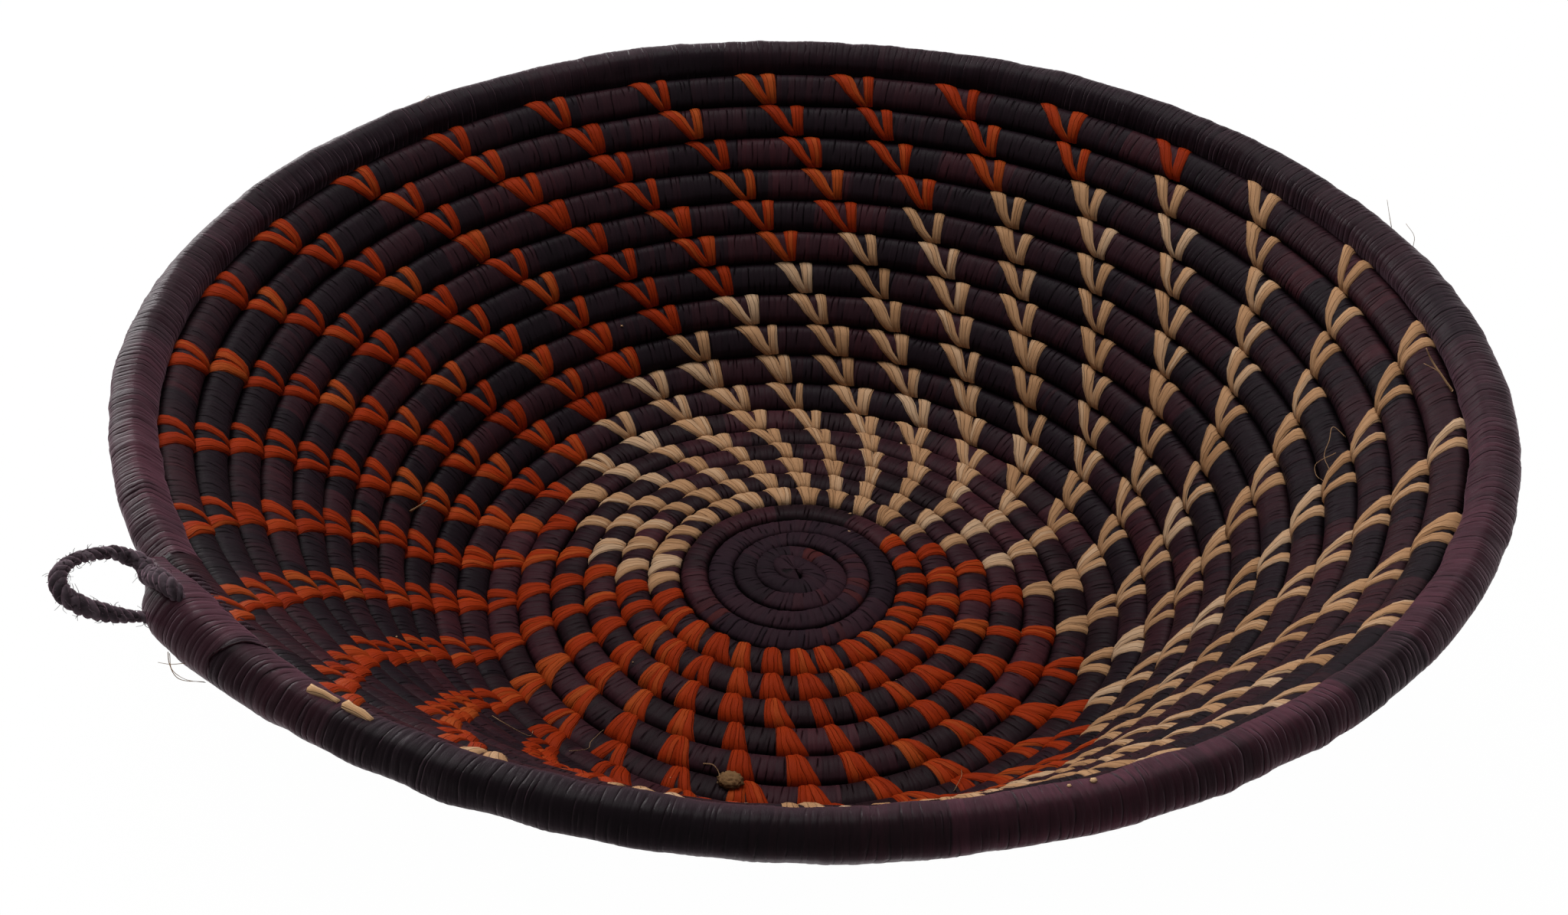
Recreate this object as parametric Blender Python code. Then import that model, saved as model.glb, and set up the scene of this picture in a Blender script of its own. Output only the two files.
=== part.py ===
"""A coiled bowl: one wrapped cord wound outward into a domed base, a sloping wall and a
thicker rim, with a hanging loop sewn to the rim. Metres, +Z up, resting on Z = 0."""

import math

import bmesh
import bpy
import numpy as np
from mathutils import Matrix, Vector

# Rounds of the coil, counted outward from its centre
START_ROUND = 0.62  # the cord's first bend, as tight as it goes
DISC_ROUNDS = 4.25  # plain centre, up to here
BASE_ROUNDS = 7.0  # base and heel, after the centre
WALL_ROUNDS = 11.0  # wall, up to the rim
RIM_ROUNDS = 0.98  # the last, thicker round
SPLICE_ANGLE = 28.0  # degrees round the bowl, half a round after the centre ends

# Distance from one round to the next, along the profile
START_PITCH = 0.0046
DISC_PITCH = 0.0064
BASE_PITCH = 0.0076
TOP_PITCH = 0.0090
WIDENING_ROUNDS = 0.75  # over these the centre's pitch grows to the base's

# Slope of the profile in degrees, and the rounds at which it is reached. Between two of
# them the profile is an arc: down from the domed centre, level at the foot, up the wall.
DISC_EDGE_SLOPE = -9.0
BASE_EDGE_SLOPE, BASE_EDGE_ROUND = -5.5, 9.8
HEEL_SLOPE, HEEL_ROUND = 29.0, 11.3
WALL_SLOPE, WALL_ROUND = 50.0, 13.3
LIP_SLOPE = 44.0

# The cord
COIL_GAP = 0.0006  # between two rounds
RIM_CORD = 0.0092  # diameter of the rim
SWELL_ROUNDS = 0.14  # over these the cord thickens into the rim
END_CORD = 0.0118  # diameter of the rim near its end, where it is bound off
END_ROUNDS = 0.07  # length of that thicker end
END_SWELL_ROUNDS = 0.05  # over these the rim thickens into it
TAPER_ROUNDS = 0.03  # over these the rim's end thins out
TAPER_SHARE = 0.3  # of its thickness, left at the very end
FOOT_CUT_SHARE = 0.1  # of the cord's diameter, flattened under the foot
POINTS_A_ROUND = 24
JOINT_GAP = 0.0003  # between touching pieces

# The hanging loop: a thin cord whose ends sit on the rim, on a slanting hinge line
LOOP_BEFORE_END = 0.0092  # rounds from the loop's middle to the rim's end
LOOP_TOP_ALONG = -0.0077  # its upper leg, past the rim's end
LOOP_TOP_POLAR = 74.0  # degrees round the rim's cord, from outward to up
LOOP_SIDE_ALONG = 0.0087  # its lower leg, on the rim's side
LOOP_SIDE_POLAR = 8.0
LOOP_RISE = 32.0  # degrees that the loop stands up from level
LOOP_END_R = 0.0013
# Across from leg to leg as a share of their distance, out from the hinge line, thickness
LOOP_SHAPE = (
    (0.00, 0.0030, 0.0026),
    (0.03, 0.0058, 0.0026),
    (0.08, 0.0085, 0.0027),
    (0.17, 0.0113, 0.0029),
    (0.29, 0.0142, 0.0033),
    (0.42, 0.0163, 0.0037),
    (0.56, 0.0172, 0.0039),
    (0.69, 0.0166, 0.0040),
    (0.80, 0.0145, 0.0041),
    (0.87, 0.0117, 0.0042),
    (0.92, 0.0088, 0.0040),
    (0.97, 0.0058, 0.0034),
    (1.00, 0.0030, 0.0028),
)
# The sewn-down tail of the loop's cord: out, along and up from the rim cord's centre
TAIL_SHAPE = ((-0.0014, -0.0068, 0.0062), (-0.0034, -0.0053, 0.0036), (-0.0046, -0.0034, -0.0006))
TAIL_CORD = 0.0030

RIM_START = DISC_ROUNDS + BASE_ROUNDS + WALL_ROUNDS
RIM_END = RIM_START + RIM_ROUNDS


def srgb(hex_colour):
    """Linear colour from six hex digits."""
    channels = [int(hex_colour[i : i + 2], 16) / 255 for i in (0, 2, 4)]
    return [c / 12.92 if c <= 0.04045 else ((c + 0.055) / 1.055) ** 2.4 for c in channels] + [1.0]


def material(name, hex_colour, roughness):
    made = bpy.data.materials.new(name)
    made.use_nodes = True
    shader = made.node_tree.nodes["Principled BSDF"]
    shader.inputs["Base Color"].default_value = srgb(hex_colour)
    shader.inputs["Roughness"].default_value = roughness
    shader.inputs["Metallic"].default_value = 0.0
    made.diffuse_color = srgb(hex_colour)
    return made


def smooth_step(share):
    share = np.clip(share, 0.0, 1.0)
    return share * share * (3.0 - 2.0 * share)


def pitch_at(rounds):
    return np.interp(
        rounds,
        (0.0, DISC_ROUNDS, DISC_ROUNDS + WIDENING_ROUNDS, RIM_START),
        (START_PITCH, DISC_PITCH, BASE_PITCH, TOP_PITCH),
    )


def coil_radius(rounds):
    """Half the coil's thickness, just under half the pitch."""
    return (pitch_at(rounds) - COIL_GAP) / 2


def full_radius(rounds):
    """The same with the rim, which is thicker, and most so near its end."""
    swell = smooth_step((rounds - RIM_START) / SWELL_ROUNDS)
    end_swell = smooth_step((rounds - RIM_END + END_ROUNDS) / END_SWELL_ROUNDS)
    rim = RIM_CORD / 2 + end_swell * (END_CORD - RIM_CORD) / 2
    return coil_radius(rounds) + swell * (rim - coil_radius(rounds))


def cord_radius(rounds):
    """Half the cord's thickness, thinned at the rim's end."""
    taper = smooth_step((RIM_END - rounds) / TAPER_ROUNDS)
    return full_radius(rounds) * (TAPER_SHARE + (1 - TAPER_SHARE) * taper)


def profile():
    """The coil's centre line: rounds, distance from the axis and height of the centre line."""
    rounds = np.linspace(0.0, RIM_END + 0.1, 6001)
    slope = np.interp(
        rounds,
        (0.0, DISC_ROUNDS, BASE_EDGE_ROUND, HEEL_ROUND, WALL_ROUND, RIM_START),
        (0.0, DISC_EDGE_SLOPE, BASE_EDGE_SLOPE, HEEL_SLOPE, WALL_SLOPE, LIP_SLOPE),
    )
    # Where the cord is thicker than the coil, its centre line stands that much further off.
    stand_off = full_radius(rounds) - coil_radius(rounds)
    step = rounds[1] - rounds[0]
    advance = pitch_at(rounds) * step + np.gradient(stand_off)
    out = np.cumsum(advance * np.cos(np.radians(slope)))
    up = np.cumsum(advance * np.sin(np.radians(slope)))
    out -= out[0]
    # The foot is the lowest round. Its flat lies at height 0.
    bottom = up - cord_radius(rounds) * (1 - 2 * FOOT_CUT_SHARE)
    return rounds, out, up - bottom.min()


PROFILE = profile()


def centre_line(rounds):
    """Points of the cord's centre line, wound clockwise as seen from above."""
    rounds = np.atleast_1d(rounds)
    angle = np.radians(SPLICE_ANGLE - 360.0 * (rounds - DISC_ROUNDS - 0.5))
    out = np.interp(rounds, PROFILE[0], PROFILE[1])
    up = np.interp(rounds, PROFILE[0], PROFILE[2])
    return np.stack([out * np.cos(angle), out * np.sin(angle), up], axis=1)


def joint_end(rounds, side):
    """The points and radii that end a stretch of cord square and straight for one diameter.

    A joint lies halfway between two points of the grid, where the cord is straight. Where
    that is too short, a longer straight leaves the bend on its outside, so it starts inside
    it by as much, and the cord is that much thinner, which keeps its neighbours clear.
    """
    before, after = centre_line([rounds - 0.5 / POINTS_A_ROUND, rounds + 0.5 / POINTS_A_ROUND])
    middle = (before + after) / 2
    along = side * (after - before) / np.linalg.norm(after - before)
    radius = float(cord_radius(rounds))
    if np.linalg.norm(after - before) >= 4 * radius:
        return [middle + along * JOINT_GAP / 2], [radius]
    bend = centre_line(rounds)[0]
    distance = math.hypot(bend[0], bend[1])
    bulge = (2 * radius) ** 2 / (4 * distance)
    end = bend * np.array([1 - bulge / distance, 1 - bulge / distance, 1.0])
    end = end + along * JOINT_GAP / 2
    return [end, end + along * 2 * radius], [radius - bulge] * 2


def cord_stretch(first, last, joined_first, joined_last):
    """Centre line points and radii of the cord from one round to another.

    Every round has its points at the same angles, so that neighbours run side by side.
    """
    steps = np.arange(math.ceil(first * POINTS_A_ROUND), math.floor(last * POINTS_A_ROUND))
    grid = (steps + 0.5) / POINTS_A_ROUND
    head, head_radii = [centre_line(first)[0]], [float(cord_radius(first))]
    foot, foot_radii = [], []
    if joined_first:
        head, head_radii = joint_end(first, 1)
    if joined_last:
        foot, foot_radii = joint_end(last, -1)
        foot, foot_radii = foot[::-1], foot_radii[::-1]
    else:
        # A free end thins out, over more points than the grid has there.
        grid = np.concatenate([grid[grid < last - TAPER_ROUNDS], np.linspace(last - TAPER_ROUNDS, last, 6)])
    points, radii = centre_line(grid), cord_radius(grid)
    clear = np.ones(len(grid), bool)
    for made in (head, foot):
        if len(made) > 1:
            straight = np.linalg.norm(made[1] - made[0])
            for end in (made[0], made[-1]):
                clear &= np.linalg.norm(points - end, axis=1) > straight * 0.6
    points = np.concatenate([head, points[clear]] + ([foot] if foot else []))
    radii = np.concatenate([head_radii, radii[clear], foot_radii])
    return points, radii


def least_gap(points, radii):
    """Least distance between the surfaces of two rounds of one cord."""
    shares = np.linspace(0.0, 1.0, 5)[:-1, None]
    dense = (points[:-1, None] + shares * (points[1:] - points[:-1])[:, None]).reshape(-1, 3)
    thick = (radii[:-1, None] + shares.T * (radii[1:] - radii[:-1])[:, None]).reshape(-1)
    run = np.concatenate([[0.0], np.cumsum(np.linalg.norm(np.diff(dense, axis=0), axis=1))])
    least = math.inf
    for i in range(len(dense)):
        # Its own bend isn't another round: what is nearer along the cord is left out.
        other = run - run[i] > 8 * thick[i]
        if other.any():
            apart = np.linalg.norm(dense[other] - dense[i], axis=1) - thick[other] - thick[i]
            least = min(least, float(apart.min()))
    return least


def tube(name, points, radii, finish, sides_level, twist):
    """A cord as a curve object with filled caps, in the bowl's collection."""
    curve = bpy.data.curves.new(name, "CURVE")
    curve.dimensions = "3D"
    curve.twist_mode = twist
    curve.bevel_depth = float(max(radii))
    curve.bevel_resolution = sides_level
    curve.use_fill_caps = True
    spline = curve.splines.new("POLY")
    spline.points.add(len(points) - 1)
    for target, point, radius in zip(spline.points, points, radii):
        target.co = (*point, 1.0)
        target.radius = radius / curve.bevel_depth
    spline.use_smooth = True
    made = bpy.data.objects.new(name, curve)
    made.data.materials.append(finish)
    bowl.objects.link(made)
    return made


def as_mesh(source):
    """The curve object turned into a mesh object of the same name, its caps welded on."""
    bpy.context.view_layer.update()
    evaluated = source.evaluated_get(bpy.context.evaluated_depsgraph_get())
    mesh = bpy.data.meshes.new_from_object(evaluated)
    welded = bmesh.new()
    welded.from_mesh(mesh)
    bmesh.ops.remove_doubles(welded, verts=welded.verts, dist=0.00001)
    welded.to_mesh(mesh)
    welded.free()
    name = source.name
    made = bpy.data.objects.new(name + "_mesh", mesh)
    made.matrix_world = source.matrix_world
    bowl.objects.link(made)
    bpy.data.objects.remove(source)
    made.name = name
    return made


def coil_part(name, first, last, joined_first, joined_last, finish):
    points, radii = cord_stretch(first, last, joined_first, joined_last)
    gap = least_gap(points, radii)
    print(f"{name}: {len(points)} points, least gap between its rounds {gap * 1000:.2f} mm")
    return tube(name, points, radii, finish, 1, "Z_UP")


def cut_foot(coil):
    """Flattens the lowest round, so that the bowl stands on it."""
    reach = 3 * float(np.interp(BASE_EDGE_ROUND, PROFILE[0], PROFILE[1]))
    depth = 0.01
    bpy.ops.mesh.primitive_cube_add(size=1.0, location=(0.0, 0.0, -depth / 2))
    cutter = bpy.context.object
    cutter.name = "floor_cutter"
    cutter.scale = (reach, reach, depth)
    for holder in list(cutter.users_collection):
        holder.objects.unlink(cutter)
    cutters.objects.link(cutter)
    cutter.hide_render = True
    cutter.display_type = "WIRE"
    flat = coil.modifiers.new("foot flat", "BOOLEAN")
    flat.operation = "DIFFERENCE"
    flat.solver = "EXACT"
    flat.object = cutter
    return cutter


def rim_frame():
    """Centre of the rim's cord at the loop, and the out, along and up directions there."""
    centre = Vector(centre_line(RIM_END - LOOP_BEFORE_END)[0])
    out = Vector((centre.x, centre.y, 0.0)).normalized()
    up = Vector((0.0, 0.0, 1.0))
    return centre, out, up.cross(out), up


def on_rim(along_offset, polar):
    """A point whose ball of the loop's end radius sits just off the rim's cord."""
    centre, out, along, up = rim_frame()
    reach = END_CORD / 2 + JOINT_GAP + LOOP_END_R
    polar = math.radians(polar)
    return centre + along * along_offset + (out * math.cos(polar) + up * math.sin(polar)) * reach


def hinge():
    """The loop's frame: local X along the hinge line, local Y out through the loop."""
    top = on_rim(LOOP_TOP_ALONG, LOOP_TOP_POLAR)
    side = on_rim(LOOP_SIDE_ALONG, LOOP_SIDE_POLAR)
    centre, out, along, up = rim_frame()
    axis = (side - top).normalized()
    rise = math.radians(LOOP_RISE)
    outward = out * math.cos(rise) + up * math.sin(rise)
    outward = (outward - axis * outward.dot(axis)).normalized()
    normal = axis.cross(outward)
    turn = Matrix((axis, outward, normal)).transposed()
    return top, side, turn


def hanging_loop(finish):
    """The loop, with ball ends centred on the hinge line, so that it turns clear of the rim."""
    top, side, turn = hinge()
    width = (side - top).length
    ball = [(-1.0, 0.30), (-0.8, 0.60), (-0.45, 0.89), (0.0, 1.0)]
    start = [(0.0, depth * LOOP_END_R, 2 * share * LOOP_END_R) for depth, share in ball]
    end = [(width, depth, thick) for _, depth, thick in start[::-1]]
    middle = [(across * width, out, thick) for across, out, thick in LOOP_SHAPE]
    route = start + middle + end
    points = [(across, out, 0.0) for across, out, _ in route]
    made = tube("hanging_loop", points, [thick / 2 for *_, thick in route], finish, 2, "MINIMUM")
    made.matrix_world = Matrix.Translation(top) @ turn.to_4x4()
    return made


def loop_tail(finish):
    """The loop's cord where it is sewn down, from its upper leg to the groove by the rim's end."""
    top, side, turn = hinge()
    centre, out, along, up = rim_frame()
    inward = -turn.col[1]
    first = top + inward * (LOOP_END_R + JOINT_GAP)
    second = first + inward * 2 * LOOP_END_R
    laid = [centre + out * x + along * y + up * z for x, y, z in TAIL_SHAPE]
    points = [first, second] + laid
    radii = [LOOP_END_R] + [TAIL_CORD / 2] * len(laid) + [LOOP_END_R]
    return tube("loop_tail", points, radii, finish, 2, "MINIMUM")


def centre_on_origin(parts):
    """Moves the bowl sideways so that the origin is under the middle of its coil."""
    bpy.context.view_layer.update()
    graph = bpy.context.evaluated_depsgraph_get()
    corners = []
    for part in parts:
        shape = part.evaluated_get(graph)
        mesh = shape.to_mesh()
        corners += [shape.matrix_world @ vertex.co for vertex in mesh.vertices]
        shape.to_mesh_clear()
    middle_x = (max(c.x for c in corners) + min(c.x for c in corners)) / 2
    middle_y = (max(c.y for c in corners) + min(c.y for c in corners)) / 2
    shift = Vector((-middle_x, -middle_y, 0.0))
    for each in bowl.objects:
        each.location += shift
    print(f"coil axis at x {shift.x * 1000:.2f}, y {shift.y * 1000:.2f} mm")
    return shift


for old in list(bpy.data.objects):
    bpy.data.objects.remove(old)
bowl = bpy.data.collections.new("woven_fruit_bowl")
cutters = bpy.data.collections.new("cutters")
bpy.context.scene.collection.children.link(bowl)
bpy.context.scene.collection.children.link(cutters)

dark_raffia = material("raffia dyed blue-black", "2b262d", 0.62)
centre_raffia = material("raffia dyed black-brown", "2c2327", 0.62)
orange_raffia = material("raffia dyed orange over black", "6b3420", 0.62)
plum_raffia = material("raffia dyed plum", "46313b", 0.55)
loop_fibre = material("twisted raffia cord", "3a3136", 0.8)
tail_fibre = material("sewn raffia cord", "332a30", 0.8)

base_end = DISC_ROUNDS + BASE_ROUNDS
center_coil = coil_part("center_coil", START_ROUND, DISC_ROUNDS, False, True, centre_raffia)
base_coil = as_mesh(coil_part("base_coil", DISC_ROUNDS, base_end, True, True, orange_raffia))
wall_coil = coil_part("wall_coil", base_end, RIM_START, True, True, dark_raffia)
rim_coil = coil_part("rim_coil", RIM_START, RIM_END, True, False, plum_raffia)
cut_foot(base_coil)
loop = hanging_loop(loop_fibre)
tail = loop_tail(tail_fibre)
centre_on_origin([center_coil, base_coil, wall_coil, rim_coil])
for shown in bowl.objects:
    if shown.type == "MESH":
        shown.data.shade_smooth()
        shown.data.set_sharp_from_angle(angle=math.radians(35.0))
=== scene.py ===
import math
from functools import partial

import bpy
import numpy as np
from mathutils import Matrix, Vector


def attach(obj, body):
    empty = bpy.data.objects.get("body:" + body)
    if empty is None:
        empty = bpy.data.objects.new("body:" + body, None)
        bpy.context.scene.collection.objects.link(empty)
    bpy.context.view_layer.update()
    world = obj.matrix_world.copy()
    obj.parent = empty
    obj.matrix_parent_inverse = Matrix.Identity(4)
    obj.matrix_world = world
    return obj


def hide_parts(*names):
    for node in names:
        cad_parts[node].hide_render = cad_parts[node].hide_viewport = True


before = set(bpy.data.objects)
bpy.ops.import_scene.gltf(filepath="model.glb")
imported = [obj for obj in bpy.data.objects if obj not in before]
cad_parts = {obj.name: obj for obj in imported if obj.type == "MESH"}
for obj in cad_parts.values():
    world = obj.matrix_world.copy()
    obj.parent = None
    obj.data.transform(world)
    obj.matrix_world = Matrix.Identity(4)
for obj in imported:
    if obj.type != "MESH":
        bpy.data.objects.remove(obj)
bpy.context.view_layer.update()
print("frame loaded:", ", ".join(sorted(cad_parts)))

# One wrapped cord wound outward. Metres and degrees; places along it are counted in rounds.
coil = {
    "axis": (-0.00181, 0.00161),  # where the frame puts the middle of the coil
    "samples": 6001,
    "startRound": 0.25,
    "startShare": 0.6,  # the cord is thinner round the knot in the middle
    "discEnd": 4.25,
    "baseEnd": 11.25,
    "rimStart": 22.25,
    "rimEnd": 23.23,
    "splice": 28.0,  # degrees round the bowl, half a round after the plain centre
    "pitch": ((0.0, 0.0046), (4.25, 0.0064), (5.0, 0.0076), (22.25, 0.0090)),
    "slope": ((0.0, 0.0), (4.25, -9.0), (9.8, -5.5), (11.3, 29.0), (13.3, 50.0), (22.25, 44.0)),
    "gap": 0.0006,
    "pressed": 0.0002,  # each round presses this far into the next
    "rimCord": 0.0092,
    "swellRounds": 0.06,
    "plumStart": 22.233,  # the rim is wrapped in plum raffia from here
    "endCord": 0.0118,
    "endRounds": 0.07,
    "endSwellRounds": 0.05,
    "taperRounds": 0.02,
    "taperShare": 0.35,
    # the thinned end of the rim lies against the round inside it, by these shares of its loss
    "hugRounds": 0.001,
    "hugAcross": 0.9,
    "hugAbove": 0.25,
    "footCut": 0.1,
    "squareness": 0.80,  # pressed cords are not quite round; 1 is a circle
    "wander": 0.00022,  # no round lies quite true
    "wanderLength": 0.034,
    # the first round is folded like a hairpin: longer one way, narrower the other
    "foldAngle": -43.0,
    "foldLonger": 0.38,
    "foldNarrower": 0.18,
    "foldRounds": 2.6,
    "foldPressed": 0.0009,  # the folded rounds are pressed closer still
    # where the wrapping of the rim is blacker or more plum, by rounds
    "tone": (
        (22.22, 0.0), (22.26, 0.3), (22.33, 0.0), (22.42, -0.35), (22.58, -0.35), (22.70, -0.5),
        (22.80, -0.45), (22.84, -0.3), (22.87, 0.0), (22.93, 0.1), (22.98, 0.2), (23.04, 0.2),
        (23.065, 0.1), (23.085, -0.25), (23.10, -0.45), (23.145, -0.4), (23.157, -0.1),
        (23.168, 0.3), (23.188, 0.35), (23.191, -0.2), (23.195, 0.35),
    ),
}


def smoothStep(share):
    share = np.clip(share, 0.0, 1.0)
    return share * share * (3.0 - 2.0 * share)


def mix(first, last, share):
    return first + (last - first) * share


def fromTable(rounds, table):
    return np.interp(rounds, [row[0] for row in table], [row[1] for row in table])


def rimShare(rounds):
    return smoothStep((rounds - coil["rimStart"]) / coil["swellRounds"])


def fullRadius(rounds):
    thin = (fromTable(rounds, coil["pitch"]) - coil["gap"]) / 2
    endShare = smoothStep((rounds - coil["rimEnd"] + coil["endRounds"]) / coil["endSwellRounds"])
    thick = mix(coil["rimCord"], coil["endCord"], endShare) / 2
    return mix(thin, thick, rimShare(rounds))


def cordRadius(rounds):
    taper = smoothStep((coil["rimEnd"] - rounds) / coil["taperRounds"])
    start = mix(coil["startShare"], 1, smoothStep(rounds / coil["startRound"]))
    return fullRadius(rounds) * mix(coil["taperShare"], 1, taper) * start


def coilLine():
    rounds = np.linspace(0.0, coil["rimEnd"] + 0.1, coil["samples"])
    slope = np.radians(fromTable(rounds, coil["slope"]))
    pitch = fromTable(rounds, coil["pitch"])
    standOff = fullRadius(rounds) - (pitch - coil["gap"]) / 2
    advance = pitch * (rounds[1] - rounds[0]) + np.gradient(standOff)
    out = np.cumsum(advance * np.cos(slope))
    up = np.cumsum(advance * np.sin(slope))
    out -= out[0]
    bottom = up - cordRadius(rounds) * (1 - 2 * coil["footCut"])
    length = np.concatenate([[0.0], np.cumsum(2 * np.pi * out[1:] * np.diff(rounds))])
    return {"rounds": rounds, "slope": slope, "out": out, "up": up - bottom.min(), "length": length}


line = coilLine()
wanderCells = int(line["length"][-1] / coil["wanderLength"]) + 4
coilWander = np.random.default_rng(3).normal(0, 1, wanderCells)


def onLine(rounds, key):
    return np.interp(rounds, line["rounds"], line[key])


def movedAlong(rounds, metres):
    return rounds + metres / (2 * np.pi * onLine(rounds, "out"))


def wander(rounds):
    place = onLine(rounds, "length") / coil["wanderLength"]
    cell = place.astype(int)
    return coil["wander"] * mix(coilWander[cell], coilWander[cell + 1], smoothStep(place - cell))


def angleAt(rounds):
    return np.radians(coil["splice"] - 360.0 * (rounds - coil["discEnd"] - 0.5))


def onCoil(rounds, around, lift):
    # around: 0 faces the next round, a quarter turn into the bowl, a half turn the round before
    rounds = np.asarray(rounds, float)
    angle = angleAt(rounds)
    slope = onLine(rounds, "slope")
    radius = cordRadius(rounds)
    folded = 1 - smoothStep(rounds / coil["foldRounds"])
    side = radius + coil["gap"] / 2 + coil["pressed"] + coil["foldPressed"] * folded
    ended = smoothStep((rounds - coil["rimEnd"] + coil["taperRounds"]) / coil["hugRounds"])
    hug = ended * (fullRadius(rounds) - radius)
    power = mix(coil["squareness"], 1, rimShare(rounds))
    sideways, upward = (np.sign(v) * np.abs(v) ** power for v in (np.cos(around), np.sin(around)))
    across = sideways * (side + lift) - hug * coil["hugAcross"]
    above = upward * (radius + lift) + wander(rounds) + hug * coil["hugAbove"]
    distance = onLine(rounds, "out") + across * np.cos(slope) - above * np.sin(slope)
    height = onLine(rounds, "up") + across * np.sin(slope) + above * np.cos(slope)
    fold = math.radians(coil["foldAngle"])
    lengthways = distance * np.cos(angle - fold) * (1 + coil["foldLonger"] * folded)
    crossways = distance * np.sin(angle - fold) * (1 - coil["foldNarrower"] * folded)
    return np.stack([
        coil["axis"][0] + lengthways * math.cos(fold) - crossways * math.sin(fold),
        coil["axis"][1] + lengthways * math.sin(fold) + crossways * math.cos(fold),
        np.maximum(height, 0.0),
    ], axis=-1)


def coilPoint(rounds, degrees, lift):
    return Vector(onCoil(np.array([rounds]), math.radians(degrees), lift)[0])


noiseRows = 9000
noiseTables = {}
ribs = {"widths": (0.55, 1.6), "heights": (0.15, 1.0)}  # shares of the usual one


def roughNoise(seed, places, turns, cell, turnCells):
    # smooth values from -1 to 1, the same each run, with a period of one turn round the cord
    if (seed, turnCells) not in noiseTables:
        random = np.random.default_rng(seed)
        noiseTables[seed, turnCells] = random.uniform(-1, 1, (noiseRows, turnCells))
    values = noiseTables[seed, turnCells]
    alongCell, aroundCell = places / cell, (turns % 1.0) * turnCells
    a0, b0 = alongCell.astype(int), aroundCell.astype(int) % turnCells
    a, b = smoothStep(alongCell - a0), smoothStep(aroundCell - np.floor(aroundCell))
    b1 = (b0 + 1) % turnCells
    low = mix(values[a0, b0], values[a0, b1], b)
    return mix(low, mix(values[a0 + 1, b0], values[a0 + 1, b1], b), a)


def strandRidges(seed, places, turns, width):
    # each wrapped strand is a low rib of its own width and height
    random = np.random.default_rng(seed)
    widths = random.uniform(*ribs["widths"], int(places.max() / width * 1.3) + 20) * width
    edges = np.concatenate([[-2 * width], np.cumsum(widths) - 2 * width])
    heights = random.uniform(*ribs["heights"], len(edges))
    lean = places + turns * width
    which = np.clip(np.searchsorted(edges, lean) - 1, 0, len(widths) - 1)
    share = (lean - edges[which]) / widths[which]
    return heights[which] * (1 - np.abs(2 * share - 1) ** 3)


def deselectAll():
    bpy.ops.object.select_all(action="DESELECT")


def cornersOf(piece):
    corners = np.empty(len(piece.data.vertices) * 3)
    piece.data.vertices.foreach_get("co", corners)
    return corners.reshape(-1, 3)


def gridShares(alongCount, acrossCount):
    # a flat grid, and each corner's share of its length and width
    deselectAll()
    bpy.ops.mesh.primitive_grid_add(
        x_subdivisions=alongCount, y_subdivisions=acrossCount, size=2.0, calc_uvs=True
    )
    grid = bpy.context.object
    shares = cornersOf(grid)[:, :2] / 2 + 0.5
    return grid, shares[:, 0], shares[:, 1]


def storeValues(piece, name, values):
    piece.data.attributes.new(name, "FLOAT", "POINT").data.foreach_set("value", values)


def scaleUv(piece, first, last):
    # the map's first direction becomes metres along the cord
    layer = piece.data.uv_layers.active.data
    values = np.empty(len(layer) * 2)
    layer.foreach_get("uv", values)
    values = values.reshape(-1, 2)
    values[:, 0] = mix(first, last, values[:, 0])
    layer.foreach_set("uv", values.ravel())


def closeTube(piece, holeSides):
    bpy.context.view_layer.objects.active = piece
    bpy.ops.object.mode_set(mode="EDIT")
    bpy.ops.mesh.select_all(action="SELECT")
    bpy.ops.mesh.remove_doubles(threshold=1e-6)
    bpy.ops.mesh.select_all(action="DESELECT")
    bpy.ops.mesh.select_non_manifold()
    bpy.ops.mesh.fill_holes(sides=holeSides)
    bpy.ops.mesh.select_all(action="SELECT")
    bpy.ops.mesh.normals_make_consistent(inside=False)
    bpy.ops.object.mode_set(mode="OBJECT")
    bpy.ops.object.shade_smooth()


def wrappedStretch(name, first, last, ringStep, sides, shape):
    # a stretch of the wrapped cord: a flat grid rolled into a tube and wound on the coil
    start, end = onLine([first, last], "length")
    grid, along, around = gridShares(int((end - start) / ringStep), sides)
    places = mix(start, end, along)
    rounds = np.interp(places, line["length"], line["rounds"])
    corners = onCoil(rounds, around * 2 * np.pi + np.pi, shape(places, around))
    grid.data.vertices.foreach_set("co", corners.ravel())
    scaleUv(grid, start, end)
    tone = fromTable(rounds, coil["tone"]) if last > coil["rimStart"] else np.zeros(len(rounds))
    storeValues(grid, "tone", tone)
    grid.name = name
    closeTube(grid, sides)
    return grid


def linear(hexColour):
    channels = [int(hexColour[k:k + 2], 16) / 255 for k in (0, 2, 4)]
    return [c / 12.92 if c <= 0.04045 else ((c + 0.055) / 1.055) ** 2.4 for c in channels] + [1.0]


def feed(node, inputs):
    # each input takes a plain value, an output, or a node, whose first output feeds it
    for key, value in inputs.items():
        if isinstance(value, bpy.types.Node):
            value = value.outputs[0]
        if isinstance(value, bpy.types.NodeSocket):
            node.id_data.links.new(value, node.inputs[key])
        else:
            node.inputs[key].default_value = value


def addNode(tree, kind, inputs=None, **settings):
    # a kind may name its operation too, as in "Math MULTIPLY"
    kind, *operation = kind.split()
    node = tree.nodes.new("ShaderNode" + kind)
    if operation:
        node.operation = operation[0]
    for key, value in settings.items():
        setattr(node, key, value)
    feed(node, inputs or {})
    return node


def newMaterial(name):
    material = bpy.data.materials.new(name)
    material.use_nodes = True
    tree = material.node_tree
    return material, partial(addNode, tree), tree.nodes["Principled BSDF"]


def shadeRamp(add, hue, stops):
    ramp = add("ValToRGB", {0: hue})
    elements = ramp.color_ramp.elements
    while len(elements) < len(stops):
        elements.new(0.5)
    for element, (place, hexColour) in zip(elements, stops):
        element.position = place
        element.color = linear(hexColour)
    return ramp


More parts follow.
